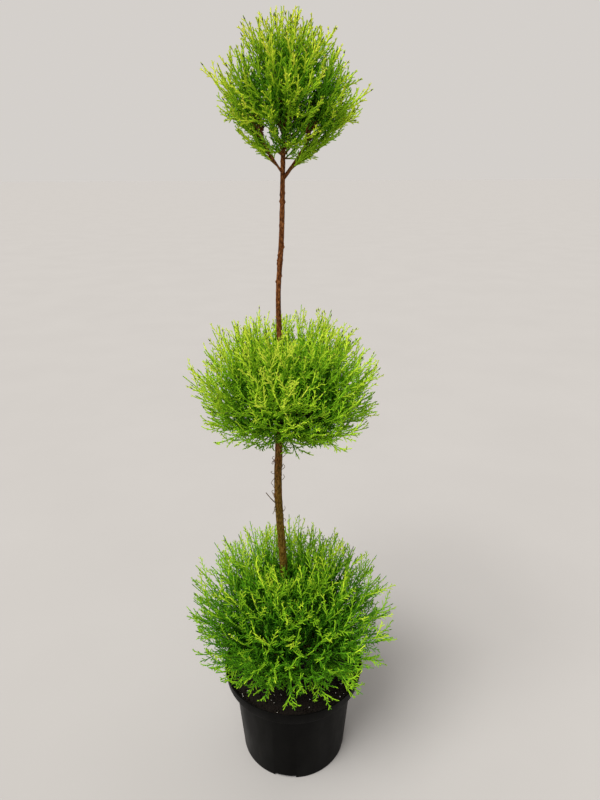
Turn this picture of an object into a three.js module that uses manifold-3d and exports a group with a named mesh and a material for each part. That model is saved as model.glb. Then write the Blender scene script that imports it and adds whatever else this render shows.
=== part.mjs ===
// Potted cypress topiary: one slender stem carries three clipped balls of feathery
// foliage, and stands in a black nursery pot filled with peat.
// Millimetres, +Z up. The origin is on the pot's axis, at the flat underside that it stands on.
// Azimuths are degrees round +Z from +X, and the front of the plant faces -Y.
import * as THREE from "three";
import { mergeVertices } from "three/addons/utils/BufferGeometryUtils.js";
import Module from "manifold-3d";

const wasm = await Module();
wasm.setup();

// Driving dimensions

const GAP = 0.3; // clearance between neighbouring pieces
const WELD = 1e-4; // vertices closer than this are one

const POT = {
  height: 154,
  rimRadius: 105,
  collarHeight: 19,
  collarFootRadius: 102.3,
  bodyTopRadius: 90.6,
  footRadius: 79.7,
  footChamfer: 1.6,
  wall: 2,
  floor: 2.6,
  edge: 1, // bevel under the collar and round the rim
  sides: 32,
};

// Four pockets under the foot let water out sideways, each with a drain hole in its roof.
const DRAIN = {
  count: 4,
  firstAzimuth: -99,
  width: 32,
  height: 4.5,
  roof: 2.2,
  innerRadius: 56,
  outerRadius: 90,
  shellRadius: 76.5,
  holeRadius: 4.5,
  holeAt: 66,
  holeSides: 8,
};

const SOIL = { top: 142, edgeDrop: 1.5, flatRadius: 20 };

// The stem's line, from the soil to the leader's tip inside the top ball.
const STEM_LINE = [
  [-3, 0, SOIL.top + GAP],
  [-6, 1, 215],
  [-12, 2, 315],
  [-17, 1, 405],
  [-18.5, 0, 458],
  [-16.5, -1, 508],
  [-12.4, -1, 620],
  [-13.5, 1, 720],
  [-9, 2, 782],
  [-6.6, 1, 845],
  [-4.5, 0, 908],
];
// Radius of the stem at some heights: it thins where each ball takes its share of the wood.
const STEM_TAPER = [
  [142, 6.4],
  [335, 5.3],
  [512, 5.2],
  [600, 4.1],
  [690, 3.2],
  [848, 2.9],
  [908, 1.7],
];
const ROOT_FLARE = { extra: 4.2, fade: 13 };
const STEM = { sides: 8, steps: 26, samples: 200 };

// One entry for each ball. Its boughs leave the stem low in the ball, and each carries one mass.
// centre is the height of the ball's widest level; spread, up and down are its half sizes;
// upperPower and lowerPower shape its profile (2 is an ellipse, less is a cone, more is a box).
// lean is how far the outline lies to the right of the stem. A bough's plume is a twig that stands far out.
const TIERS = [
  {
    name: "low",
    centre: 246,
    spread: 147,
    up: 106,
    down: 72,
    lean: 3,
    upperPower: 2.1,
    lowerPower: 2.2,
    lowest: -38,
    highest: 80,
    boughs: ringOfBoughs(6, 15, { height: 174, stagger: 22, length: 21, rise: 30, radius: 2.2 }),
    lobe: { out: 62, lift: -30, radial: 40, across: 36, high: 50 },
    twigs: 6,
    seed: 11,
  },
  {
    name: "mid",
    centre: 600,
    spread: 116,
    up: 84,
    down: 74,
    lean: 11,
    upperPower: 2.8,
    lowerPower: 2.3,
    lowest: -33,
    highest: 76,
    boughs: ringOfBoughs(5, -20, { height: 528, stagger: 18, length: 19, rise: 48, radius: 2 }),
    lobe: { out: 46, lift: -6, radial: 27, across: 29, high: 31 },
    twigs: 6,
    seed: 23,
  },
  {
    name: "top",
    centre: 935,
    spread: 77,
    up: 73,
    down: 76,
    lean: 7,
    upperPower: 1.9,
    lowerPower: 1.6,
    lowest: -60,
    highest: 41,
    boughs: [
      { azimuth: 0, height: 847, length: 41, rise: 54, radius: 2.3, plume: { elevation: 2, reach: 1.21 } },
      { azimuth: 90, height: 860, length: 30, rise: 58, radius: 1.4 },
      { azimuth: 180, height: 853, length: 33, rise: 57, radius: 1.5, plume: { elevation: 17, reach: 1.3 } },
      { azimuth: 270, height: 866, length: 26, rise: 58, radius: 1.3 },
    ],
    lobe: { out: 27, lift: -10, radial: 15, across: 18, high: 25 },
    twigs: 4,
    seed: 37,
    leader: { from: -36, halfAngle: 33, lobeLift: 10, lobeRadius: 13, lobeHigh: 18, twigs: 6, coneSides: 16 },
  },
];

// A bough hangs a little at its middle and thins towards its tip.
const BOUGH = { sag: 0.03, taper: 0.35, sides: 5, steps: 2 };

// How a twig and its sprays grow.
const TWIG = {
  short: 0.88, // shortest reach, as a share of the ball's outline
  long: 1.0, // longest usual reach
  strayShare: 0.2, // share of twigs that stand out of the outline, beside the first of each mass
  strayReach: 1.1,
  rootFrom: 0.5, // roots lie on this last part of the mass's stem
  sag: 0.13, // how far the middle hangs below the straight line, so the tip turns up
  bare: 0.36, // part of the twig with no teeth
  sides: 2, // side sprays on each twig
  sideFrom: 0.5,
  sideStep: 0.16,
  sideAngle: 38,
  sideLength: 0.56,
  sideTaper: 1.3, // side sprays shorten towards this share of the twig
};
// A toothed blade stands for a spray, larger than life. But for thick, its sizes are shares of its length.
const SPRAY = {
  thick: 1.8,
  teeth: 3,
  sideTeeth: 2,
  width: 0.3, // half width over the first teeth
  narrowing: 0.6, // how much of that is lost towards the tip
  notch: 0.34, // depth left between teeth
  lean: 1.3, // how far each tooth leans on towards the tip, in tooth lengths
  lastTip: 0.93,
};
// The dense inner twigs are one rough core in each mass, dented and bulging about its lobe's size.
const CORE = { dent: 0.74, bulge: 1.2 };
const GOLDEN_ANGLE = 137.50776;
const PLANE_STEP = [0.7548776662, 0.430159709]; // spreads points evenly over a rectangle
const MOST_TRIES = 60;
const SPACE_MARGIN = 0.6; // foliage keeps this far from its space's walls and from the limbs

const MATERIAL = {
  pot: new THREE.MeshStandardMaterial({ color: 0x1b1b19, roughness: 0.55, metalness: 0 }),
  soil: new THREE.MeshStandardMaterial({ color: 0x17120d, roughness: 0.95, metalness: 0 }),
  bark: new THREE.MeshStandardMaterial({ color: 0x6b3d1c, roughness: 0.85, metalness: 0 }),
  foliage: new THREE.MeshStandardMaterial({ color: 0x6f9a1a, roughness: 0.7, metalness: 0 }),
};

// Small helpers

const rad = THREE.MathUtils.degToRad;
const lerp = THREE.MathUtils.lerp;
const UP = new THREE.Vector3(0, 0, 1);

// A repeatable number from 0 to 1 for a list of whole numbers.
function chance(...keys) {
  let h = 2166136261;
  for (const key of keys) {
    h = Math.imul(h ^ key, 16777619);
    h ^= h >>> 15;
    h = Math.imul(h, 2246822507);
    h ^= h >>> 13;
  }
  return (h >>> 0) / 4294967296;
}

// A unit vector from an azimuth and an elevation in degrees.
function pointing(azimuth, elevation) {
  const level = Math.cos(rad(elevation));
  return new THREE.Vector3(
    level * Math.cos(rad(azimuth)),
    level * Math.sin(rad(azimuth)),
    Math.sin(rad(elevation)),
  );
}

// The value at x on a line of [x, value] stations.
function along(stations, x) {
  const next = stations.findIndex(([at]) => at >= x);
  if (next === 0) return stations[0][1];
  if (next < 0) return stations.at(-1)[1];
  const [x0, v0] = stations[next - 1];
  const [x1, v1] = stations[next];
  return lerp(v0, v1, (x - x0) / (x1 - x0));
}

// Boughs at even azimuths, their heights staggered up the stem.
function ringOfBoughs(count, firstAzimuth, { height, stagger, ...rest }) {
  return Array.from({ length: count }, (_, k) => ({
    azimuth: firstAzimuth + (360 * k) / count,
    height: height + stagger * ((k * 2) % count) / count,
    ...rest,
  }));
}

// Solids and geometries

function solidOf(geometry) {
  const bare = geometry.clone();
  bare.deleteAttribute("normal");
  bare.deleteAttribute("uv");
  const merged = mergeVertices(bare, WELD);
  return new wasm.Manifold(
    new wasm.Mesh({
      numProp: 3,
      vertProperties: new Float32Array(merged.attributes.position.array),
      triVerts: new Uint32Array(merged.index.array),
    }),
  );
}

function geometryOf(solid) {
  const { vertProperties, triVerts } = solid.getMesh();
  const geometry = new THREE.BufferGeometry();
  geometry.setAttribute("position", new THREE.BufferAttribute(new Float32Array(vertProperties), 3));
  geometry.setIndex(new THREE.BufferAttribute(new Uint32Array(triVerts), 1));
  geometry.computeVertexNormals();
  return geometry;
}

// The largest body of a solid: loose scraps and sealed hollows are dropped.
function mainBody(solid) {
  return solid.decompose().reduce((best, body) => (body.volume() > best.volume() ? body : best));
}

function piece(name, geometry, material) {
  const mesh = new THREE.Mesh(geometry, material);
  mesh.name = name;
  return mesh;
}

function turned(profile, sides) {
  const points = profile.map(([r, z]) => new THREE.Vector2(r, z));
  return new THREE.LatheGeometry(points, sides).rotateX(Math.PI / 2);
}

// A tapering limb: a closed cylinder bent along a curve. Level rings keep its foot flat.
function limb(curve, radiusAt, sides, steps, levelRings = false) {
  const geometry = new THREE.CylinderGeometry(1, 1, 1, sides, steps);
  const frames = curve.computeFrenetFrames(steps, false);
  const place = geometry.attributes.position;
  for (let i = 0; i < place.count; i++) {
    const ring = Math.round((place.getY(i) + 0.5) * steps);
    const centre = curve.getPoint(ring / steps);
    const across = levelRings ? new THREE.Vector3(1, 0, 0) : frames.normals[ring];
    const over = levelRings ? new THREE.Vector3(0, 1, 0) : frames.binormals[ring];
    const radius = radiusAt(ring / steps, centre);
    centre.addScaledVector(across, place.getX(i) * radius);
    centre.addScaledVector(over, -place.getZ(i) * radius);
    place.setXYZ(i, centre.x, centre.y, centre.z);
  }
  return geometry;
}

// The four sides of a spray, each between its midrib and one edge.
const QUARTERS = [
  { rib: "top", edge: "left", flip: false },
  { rib: "bottom", edge: "left", flip: true },
  { rib: "bottom", edge: "right", flip: false },
  { rib: "top", edge: "right", flip: true },
];

// A spray of needles: a toothed blade along a curve, thickest on its midrib.
// bare is the toothless share at its root, side the direction in which the teeth spread.
function spray(curve, { bare, teeth, width, side }) {
  const places = [];
  const faces = [];
  const put = (point) => places.push(point.x, point.y, point.z) / 3 - 1;
  const half = SPRAY.thick / 2;
  const length = curve.getLength();
  const plain = bare > 0 ? 1 : 0;
  const stations = plain ? [0] : [];
  for (let tooth = 0; tooth < teeth; tooth++) stations.push(lerp(bare, 1, tooth / teeth));
  const reachOf = (tooth) => width * length * (1 - (SPRAY.narrowing * tooth) / teeth);
  const rings = stations.map((t, k) => {
    const centre = curve.getPoint(t);
    const over = curve.getTangent(t).cross(side).normalize();
    const wide = k > plain ? SPRAY.notch * reachOf(k - plain) : SPRAY.thick;
    return {
      top: put(centre.clone().addScaledVector(over, half)),
      left: put(centre.clone().addScaledVector(side, -wide)),
      bottom: put(centre.clone().addScaledVector(over, -half)),
      right: put(centre.clone().addScaledVector(side, wide)),
    };
  });
  const apex = put(curve.getPoint(1));
  const add = (flip, ...triangle) => faces.push(...(flip ? triangle.reverse() : triangle));
  const [first, second] = rings;
  add(false, first.top, first.right, first.bottom);
  add(false, first.top, first.bottom, first.left);
  for (const { rib, edge, flip } of plain ? QUARTERS : []) {
    add(flip, first[rib], first[edge], second[edge]);
    add(flip, first[rib], second[edge], second[rib]);
  }
  for (let tooth = 0; tooth < teeth; tooth++) {
    const low = rings[tooth + plain];
    const high = rings[tooth + plain + 1];
    const tipAt = Math.min(SPRAY.lastTip, lerp(bare, 1, (tooth + SPRAY.lean) / teeth));
    const tips = {
      left: put(curve.getPoint(tipAt).addScaledVector(side, -reachOf(tooth))),
      right: put(curve.getPoint(tipAt).addScaledVector(side, reachOf(tooth))),
    };
    for (const { rib, edge, flip } of QUARTERS) {
      add(flip, low[rib], low[edge], tips[edge]);
      add(flip, low[rib], tips[edge], high ? high[rib] : apex);
      if (high) add(flip, high[rib], tips[edge], high[edge]);
    }
  }
  const geometry = new THREE.BufferGeometry();
  geometry.setAttribute("position", new THREE.Float32BufferAttribute(places, 3));
  geometry.setIndex(faces);
  return geometry;
}

// Pot and soil

const bodyHeight = POT.height - POT.collarHeight;
const bodyRadiusAt = (z) => lerp(POT.footRadius, POT.bodyTopRadius, z / bodyHeight);
const collarRadiusAt = (z) => lerp(POT.collarFootRadius, POT.rimRadius, (z - bodyHeight) / POT.collarHeight);

function makePot() {
  const { height, wall, floor, edge, footRadius, footChamfer } = POT;
  const { bodyTopRadius, collarFootRadius, rimRadius } = POT;
  const ledge = bodyHeight + wall;
  const shell = solidOf(
    turned(
      [
        [0, 0],
        [footRadius - footChamfer, 0],
        [footRadius, footChamfer],
        [bodyTopRadius, bodyHeight],
        [collarFootRadius - edge, bodyHeight],
        [collarFootRadius, bodyHeight + edge],
        [rimRadius, height - edge],
        [rimRadius - edge, height],
        [rimRadius - wall, height],
        [collarFootRadius - wall, ledge],
        [bodyRadiusAt(ledge) - wall, ledge],
        [bodyRadiusAt(floor) - wall, floor],
        [0, floor],
      ],
      POT.sides,
    ),
  );
  const { roofs, pockets } = drainParts(0);
  return piece("pot", geometryOf(mainBody(shell.add(roofs).subtract(pockets))), MATERIAL.pot);
}

// The blocks inside the foot that roof the drain pockets, grown by a clearance, and the pockets under them.
function drainParts(grow) {
  const roofs = [];
  const pockets = [];
  const block = (from, to, width, low, high) =>
    new THREE.BoxGeometry(to - from, width, high - low).translate((from + to) / 2, 0, (low + high) / 2);
  for (let k = 0; k < DRAIN.count; k++) {
    const turn = rad(DRAIN.firstAzimuth + (360 * k) / DRAIN.count);
    const side = 2 * (POT.wall + grow);
    const roof = DRAIN.height + DRAIN.roof + grow;
    const inner = DRAIN.innerRadius - POT.wall - grow;
    roofs.push(block(inner, DRAIN.shellRadius + grow, DRAIN.width + side, POT.floor / 2, roof).rotateZ(turn));
    const pocket = block(DRAIN.innerRadius, DRAIN.outerRadius, DRAIN.width, -POT.floor, DRAIN.height);
    pockets.push(pocket.rotateZ(turn));
    pockets.push(
      new THREE.CylinderGeometry(DRAIN.holeRadius, DRAIN.holeRadius, 4 * DRAIN.roof, DRAIN.holeSides)
        .rotateX(Math.PI / 2)
        .translate(DRAIN.holeAt, 0, roof)
        .rotateZ(turn),
    );
  }
  return {
    roofs: wasm.Manifold.union(roofs.map(solidOf)),
    pockets: wasm.Manifold.union(pockets.map(solidOf)),
  };
}

function makeSoil() {
  const inset = POT.wall + GAP;
  const ledge = bodyHeight + inset;
  const edge = SOIL.top - SOIL.edgeDrop;
  const fill = solidOf(
    turned(
      [
        [0, POT.floor + GAP],
        [bodyRadiusAt(POT.floor) - inset, POT.floor + GAP],
        [bodyRadiusAt(ledge) - inset, ledge],
        [collarRadiusAt(ledge) - inset, ledge],
        [collarRadiusAt(edge) - inset, edge],
        [SOIL.flatRadius, SOIL.top],
        [0, SOIL.top],
      ],
      POT.sides,
    ),
  );
  return piece("soil", geometryOf(mainBody(fill.subtract(drainParts(GAP).roofs))), MATERIAL.soil);
}

// Stem

const stemCurve = new THREE.CatmullRomCurve3(STEM_LINE.map(([x, y, z]) => new THREE.Vector3(x, y, z)));
const stemPoints = stemCurve.getPoints(STEM.samples);

function stemAt(z) {
  const next = stemPoints.findIndex((point) => point.z >= z);
  if (next <= 0) return (next < 0 ? stemPoints.at(-1) : stemPoints[0]).clone();
  const [below, above] = [stemPoints[next - 1], stemPoints[next]];
  return below.clone().lerp(above, (z - below.z) / (above.z - below.z));
}

function stemRadius(z) {
  return along(STEM_TAPER, z) + ROOT_FLARE.extra * Math.exp(-(z - SOIL.top) / ROOT_FLARE.fade);
}

function makeStem(grow = 0) {
  return limb(stemCurve, (t, centre) => stemRadius(centre.z) + grow, STEM.sides, STEM.steps, true);
}

// Balls of foliage

// The distance from a ball's centre to its outline at an elevation in degrees.
function outline(tier, elevation) {
  const level = Math.cos(rad(elevation)) / tier.spread;
  const rise = Math.abs(Math.sin(rad(elevation))) / (elevation > 0 ? tier.up : tier.down);
  const power = elevation > 0 ? tier.upperPower : tier.lowerPower;
  return (level ** power + rise ** power) ** (-1 / power);
}

// One ball in its own frame: the origin is on the stem's line, at the height of the ball's centre.
function makeBall(tier) {
  const origin = stemAt(tier.centre).setZ(tier.centre);
  const stemClear = solidOf(makeStem(GAP)).translate([-origin.x, -origin.y, -origin.z]);
  const ball = { ...tier, origin, stemClear, wedge: 360 / tier.boughs.length };
  const group = new THREE.Group();
  group.position.copy(origin);
  tier.boughs.forEach((bough, k) => {
    const number = k + 1;
    const line = boughLine(ball, bough);
    const limbSolid = mainBody(boughSolid(line, bough).subtract(stemClear));
    group.add(piece(`${tier.name}_bough_${number}`, geometryOf(limbSolid), MATERIAL.bark));
    const massSolid = sideMass(ball, bough, line, number);
    group.add(piece(`${tier.name}_mass_${number}`, geometryOf(massSolid), MATERIAL.foliage));
  });
  if (tier.leader) {
    group.add(piece(`${tier.name}_mass_leader`, geometryOf(leaderMass(ball)), MATERIAL.foliage));
  }
  return group;
}

function boughLine(ball, bough) {
  const root = stemAt(bough.height).sub(ball.origin);
  const length = bough.length + stemRadius(bough.height);
  const tip = root.clone().addScaledVector(pointing(bough.azimuth, bough.rise), length);
  const bend = root.clone().lerp(tip, 0.5).addScaledVector(UP, -BOUGH.sag * length);
  return new THREE.CatmullRomCurve3([root, bend, tip]);
}

function boughRadius(bough, t) {
  return bough.radius * (1 - BOUGH.taper * t);
}

function boughSolid(line, bough, grow = 0) {
  return solidOf(limb(line, (t) => boughRadius(bough, t) + grow, BOUGH.sides, BOUGH.steps));
}

// The mass that one bough carries. It keeps to its wedge round the stem, and out of the leader's cone.
function sideMass(ball, bough, line, number) {
  const { lobe, wedge } = ball;
  const middle = pointing(bough.azimuth, 0).multiplyScalar(lobe.out).addScaledVector(UP, lobe.lift);
  let core = solidOf(
    roughBall(ball.seed, number)
      .scale(lobe.radial, lobe.across, lobe.high)
      .rotateZ(rad(bough.azimuth))
      .translate(middle.x, middle.y, middle.z),
  ).intersect(wedgeSolid(bough.azimuth, wedge, 2 * ball.spread));
  if (ball.leader) core = core.subtract(leaderCone(ball, SPACE_MARGIN));
  const mass = growMass(ball, {
    number,
    core,
    start: line.getPoint(1).addScaledVector(line.getTangent(1), GAP),
    middle,
    thickness: boughRadius(bough, 1),
    count: ball.twigs,
    plume: bough.plume,
    azimuths: [bough.azimuth - wedge / 2, bough.azimuth + wedge / 2],
    elevations: [ball.lowest, ball.highest],
    inSpace: (point) =>
      depthInWedge(point, bough.azimuth, wedge) > SPACE_MARGIN &&
      distanceToStem(ball, point) > SPACE_MARGIN &&
      heightOverPot(ball, point) > SPACE_MARGIN &&
      (!ball.leader || distanceOutOfCone(ball, point) > SPACE_MARGIN),
  });
  return mainBody(mass.subtract(boughSolid(line, bough, GAP)).subtract(ball.stemClear));
}

// The mass on the stem's own tip. It keeps to a cone that widens upwards.
function leaderMass(ball) {
  const { leader } = ball;
  const tip = stemPoints.at(-1).clone().sub(ball.origin);
  const middle = tip.clone().setZ(leader.lobeLift);
  const number = ball.boughs.length + 1;
  const core = solidOf(
    roughBall(ball.seed, number)
      .scale(leader.lobeRadius, leader.lobeRadius, leader.lobeHigh)
      .translate(middle.x, middle.y, middle.z),
  ).intersect(leaderCone(ball, -SPACE_MARGIN));
  const mass = growMass(ball, {
    number,
    core,
    start: tip.clone().addScaledVector(UP, GAP),
    middle,
    thickness: STEM_TAPER.at(-1)[1],
    count: leader.twigs,
    azimuths: [0, 360],
    elevations: [ball.highest, 90],
    inSpace: (point) => distanceOutOfCone(ball, point) < -SPACE_MARGIN,
  });
  return mainBody(mass.subtract(ball.stemClear));
}

// How far a point is inside a wedge's nearer wall.
function depthInWedge(point, azimuth, wedge) {
  const [low, high] = [rad(azimuth - wedge / 2), rad(azimuth + wedge / 2)];
  const fromLow = Math.cos(low) * point.y - Math.sin(low) * point.x;
  const fromHigh = Math.sin(high) * point.x - Math.cos(high) * point.y;
  return Math.min(fromLow, fromHigh);
}

function distanceToStem({ origin }, point) {
  const height = point.z + origin.z;
  const centre = stemAt(height).sub(origin);
  return Math.hypot(point.x - centre.x, point.y - centre.y) - stemRadius(height);
}

// Height over the soil or, near the pot's collar, over its rim.
function heightOverPot({ origin }, point) {
  const radius = Math.hypot(point.x + origin.x, point.y + origin.y);
  const nearCollar = radius > POT.bodyTopRadius - POT.wall;
  return point.z + origin.z - (nearCollar ? POT.height : SOIL.top);
}

function distanceOutOfCone({ leader }, point) {
  const half = rad(leader.halfAngle);
  return Math.hypot(point.x, point.y) * Math.cos(half) - (point.z - leader.from) * Math.sin(half);
}

// A ball of radius 1 with a rough surface.
function roughBall(...keys) {
  const smooth = new THREE.IcosahedronGeometry(1, 1);
  smooth.deleteAttribute("normal");
  smooth.deleteAttribute("uv");
  const ball = mergeVertices(smooth, WELD);
  const place = ball.attributes.position;
  for (let i = 0; i < place.count; i++) {
    const size = lerp(CORE.dent, CORE.bulge, chance(...keys, i));
    place.setXYZ(i, size * place.getX(i), size * place.getY(i), size * place.getZ(i));
  }
  return ball;
}

// The wedge of space round the stem that one mass keeps to.
function wedgeSolid(azimuth, wedge, reach) {
  const half = rad(wedge / 2);
  const start = SPACE_MARGIN / Math.sin(half);
  const shape = new THREE.Shape();
  shape.moveTo(start, 0);
  shape.lineTo(start + reach, -reach * Math.tan(half));
  shape.lineTo(start + reach, reach * Math.tan(half));
  const prism = new THREE.ExtrudeGeometry(shape, { depth: 2 * reach, bevelEnabled: false });
  return solidOf(prism.translate(0, 0, -reach).rotateZ(rad(azimuth)));
}

// The cone of space over the stem's tip that the leader's mass keeps to, grown by a clearance.
function leaderCone({ leader, up }, grow) {
  const half = rad(leader.halfAngle);
  const depth = 2 * up;
  const apex = leader.from - grow / Math.sin(half);
  const cone = new THREE.ConeGeometry(depth * Math.tan(half), depth, leader.coneSides);
  return solidOf(cone.rotateX(-Math.PI / 2).translate(0, 0, apex + depth / 2));
}

// One mass of foliage: a stem into a dense core, and twigs that branch from that stem and stand out.
function growMass(ball, { core, thickness, count, inSpace, ...rule }) {
  const { start, middle } = rule;
  const inner = new THREE.LineCurve3(start, middle);
  const innerRadius = (t) => thickness * (1 - BOUGH.taper * t);
  const parts = [core, solidOf(limb(inner, innerRadius, BOUGH.sides, BOUGH.steps))];
  let grown = 0;
  for (let i = 0; grown < count && i < MOST_TRIES; i++) {
    const [end, ...sides] = growTwig(ball, i, rule);
    if (!staysIn(end, inSpace)) continue;
    const kept = sides.filter((geometry) => staysIn(geometry, inSpace));
    parts.push(...[end, ...kept].map(solidOf));
    grown += 1;
  }
  return mainBody(wasm.Manifold.union(parts));
}

function staysIn(geometry, inSpace) {
  const place = geometry.attributes.position;
  const point = new THREE.Vector3();
  for (let i = 0; i < place.count; i++) {
    if (!inSpace(point.fromBufferAttribute(place, i))) return false;
  }
  return true;
}

// Twig i of a mass: it runs from the mass's stem to the ball's outline, turns up towards its tip,
// ends in a spray of needles and carries side sprays, turned round it by the golden angle.
// The first twig is the bough's plume, if it has one.
function growTwig(ball, i, { number, start, middle, azimuths, elevations, plume }) {
  const draw = (k) => chance(ball.seed, number, i, k);
  const [u, v] = PLANE_STEP.map((step) => (0.5 + i * step) % 1);
  const azimuth = lerp(azimuths[0], azimuths[1], u);
  const [lowSine, highSine] = elevations.map((angle) => Math.sin(rad(angle)));
  let elevation = THREE.MathUtils.radToDeg(Math.asin(lerp(lowSine, highSine, v)));
  const stray = i === 0 || draw(0) < TWIG.strayShare;
  let share = stray ? TWIG.strayReach : lerp(TWIG.short, TWIG.long, draw(1));
  if (plume && i === 0) {
    elevation = plume.elevation;
    share = plume.reach;
  }
  const tip = pointing(azimuth, elevation).multiplyScalar(outline(ball, elevation) * share);
  tip.x += ball.lean;
  const root = start.clone().lerp(middle, lerp(TWIG.rootFrom, 1, draw(2)));
  const length = root.distanceTo(tip);
  const bend = root.clone().lerp(tip, 0.5).addScaledVector(UP, -TWIG.sag * length);
  const line = new THREE.QuadraticBezierCurve3(root, bend, tip);
  const heading = line.getTangent(1);
  const level = pointing(azimuth + 90, 0);
  const across = level.addScaledVector(heading, -level.dot(heading)).normalize();
  const roll = 360 * draw(3);
  const turnedBy = (angle) => across.clone().applyAxisAngle(heading, rad(angle)).normalize();
  const { bare } = TWIG;
  const width = SPRAY.width * (1 - bare);
  const sprays = [spray(line, { bare, teeth: SPRAY.teeth, width, side: turnedBy(roll) })];
  for (let j = 0; j < TWIG.sides; j++) {
    const from = TWIG.sideFrom + TWIG.sideStep * j;
    const away = turnedBy(roll + GOLDEN_ANGLE * (j + 1));
    const run = line.getTangent(from).multiplyScalar(Math.cos(rad(TWIG.sideAngle)));
    run.addScaledVector(away, Math.sin(rad(TWIG.sideAngle))).normalize();
    const foot = line.getPoint(from);
    const reach = length * TWIG.sideLength * (TWIG.sideTaper - from);
    const end = foot.clone().addScaledVector(run, reach);
    const curve = new THREE.LineCurve3(foot, end);
    const side = new THREE.Vector3().crossVectors(run, away).normalize();
    sprays.push(spray(curve, { bare: 0, teeth: SPRAY.sideTeeth, width: SPRAY.width, side }));
  }
  return sprays;
}

const topiary = new THREE.Group();
topiary.add(makePot(), makeSoil(), piece("trunk", makeStem(), MATERIAL.bark));
for (const tier of TIERS) topiary.add(makeBall(tier));

export default topiary;
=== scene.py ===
"""Looks of the potted cypress topiary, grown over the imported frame.

Sizes here are in mm, and the scene is in m.
"""

import math

import bmesh
import bpy
import numpy as np
from mathutils import Matrix, Vector


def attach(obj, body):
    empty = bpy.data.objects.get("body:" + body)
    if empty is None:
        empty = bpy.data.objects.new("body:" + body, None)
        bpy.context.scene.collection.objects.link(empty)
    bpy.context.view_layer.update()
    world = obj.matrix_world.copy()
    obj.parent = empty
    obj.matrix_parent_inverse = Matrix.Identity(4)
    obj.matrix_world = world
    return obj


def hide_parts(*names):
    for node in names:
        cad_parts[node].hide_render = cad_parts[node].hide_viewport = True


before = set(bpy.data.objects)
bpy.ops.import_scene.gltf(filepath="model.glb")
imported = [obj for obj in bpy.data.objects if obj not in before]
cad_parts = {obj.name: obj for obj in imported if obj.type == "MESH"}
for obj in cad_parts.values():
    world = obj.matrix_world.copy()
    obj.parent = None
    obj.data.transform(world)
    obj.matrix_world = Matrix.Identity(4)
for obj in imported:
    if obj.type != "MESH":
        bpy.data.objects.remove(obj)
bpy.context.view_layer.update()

MM = 0.001
UP = np.array([0.0, 0.0, 1.0])

# Pot and soil, as in the solids
POT_HEIGHT = 154
RIM_RADIUS = 105
COLLAR_HEIGHT = 19
COLLAR_FOOT_RADIUS = 102.3
BODY_TOP_RADIUS = 90.6
FOOT_RADIUS = 79.7
WALL = 2.0
BODY_HEIGHT = POT_HEIGHT - COLLAR_HEIGHT
DRAIN = {"count": 4, "first": -99, "width": 32, "height": 4.5, "inner": 56, "outer": 90}
SOIL_TOP = 142
SOIL_EDGE_DROP = 1.5
SOIL_GAP = 0.3

# Finer detail of the pot and soil
POT_SIDES = 144
SHARP_ANGLE = 40
THICK_FLOOR = 8.0
NEAR_AXIS = 0.01  # a turned shape's ends stand this far from its axis until they are welded
WELD_GAP = 0.05
SOIL_SIDES = 160
SOIL_RINGS = 48
SOIL_PRESS = 0.6  # how far the soil's edge presses into the wall, so that no slit shows
SOIL_LIFT = 0.5
SOIL_FADE = {"width": 6, "least": 0.15}  # the lumps flatten towards the wall
SOIL_LUMPS = ((11, 1.5, 7), (4.5, 0.8, 8))  # width, height and seed of each size of lump
SOIL_SINK = 0.6
LUMP_SHIFT = 500  # keeps the cells' numbers above zero
CRUMBS = {"count": 1500, "sizes": (0.7, 2.3), "seed": 41}
PERLITE = {"count": 120, "sizes": (0.6, 1.4), "seed": 43}
GRAIN = {"reach": 98, "sink": 0.6, "rise": 0.9, "flat": 0.8, "stretch": (0.6, 1.3)}

# Stem, as in the solids
STEM_LINE = np.array(
    [
        [-3, 0, 142.3],
        [-6, 1, 215],
        [-12, 2, 315],
        [-17, 1, 405],
        [-18.5, 0, 458],
        [-16.5, -1, 508],
        [-12.4, -1, 620],
        [-13.5, 1, 720],
        [-9, 2, 782],
        [-6.6, 1, 845],
        [-4.5, 0, 908],
    ]
)
STEM_TAPER = np.array([[142, 6.4], [335, 5.3], [512, 5.2], [600, 4.1], [690, 3.2], [848, 2.9], [908, 1.7]])
FLARE = {"extra": 4.2, "fade": 13}
STEM_SIDES = 28
STEM_STEP = 1.5
STEM_BURIED = 2
STEM_SEED = 101

# Bark relief, nubs of lost shoots, and curls of peeling bark
RELIEF = {"stem": 0.42, "bough": 0.16, "mass": 0.1}
BARK_CELL = {"width": 2.6, "fewest": 6, "broad": 4}
BARK_WAVES = ((0.55, 11), (0.30, 4), (0.35, 26))  # share of the relief, and length along the limb
LIMB_END = {"length": 0.4, "radius": 0.05}
ASIDE = (1.0, 0.2, 0.05)  # a direction that no limb runs along
NUBS = 130
NUB = {"heights": (0.8, 2.2), "widths": (0.9, 1.7)}
CURLS = 44
CURL = {
    "seed": 5,
    "places": (345, 505),
    "lengths": (3, 11),
    "bulges": (2, 8),
    "bulge_at": 0.9,
    "reaches": (0.6, 1.4),
    "gaps": (0.5, 4),
    "sways": (-4, 4),
    "foot": 0.5,
    "radii": (0.5, 0.35),
    "steps": 7,
}
DEAD_TWIG = np.array([[-22.5, 0, 428], [-29, -2, 436], [-35, -3, 446]])
DEAD_TWIG_RADII = (0.9, 0.6)

# The growth rule of the solids, with more twigs and finer sprays
GOLDEN_ANGLE = 137.50776
PLANE_STEP = (0.7548776662, 0.430159709)
TWIG = {"short": 0.88, "long": 1.0, "stray_share": 0.14, "stray_reach": 1.1, "bare": 0.3, "most": 1.15}
SPRAY_ANGLE = 30
SPRAY_LENGTH = 0.36
SPRAY_TAPER = 1.3
BOUGH = {"sag": 0.03, "taper": 0.35, "sides": 12, "steps": 24}
MASS_STEM = {"bend": 0.45, "thick": 0.9, "thin": 0.3, "sides": 8, "steps": 16}


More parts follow.
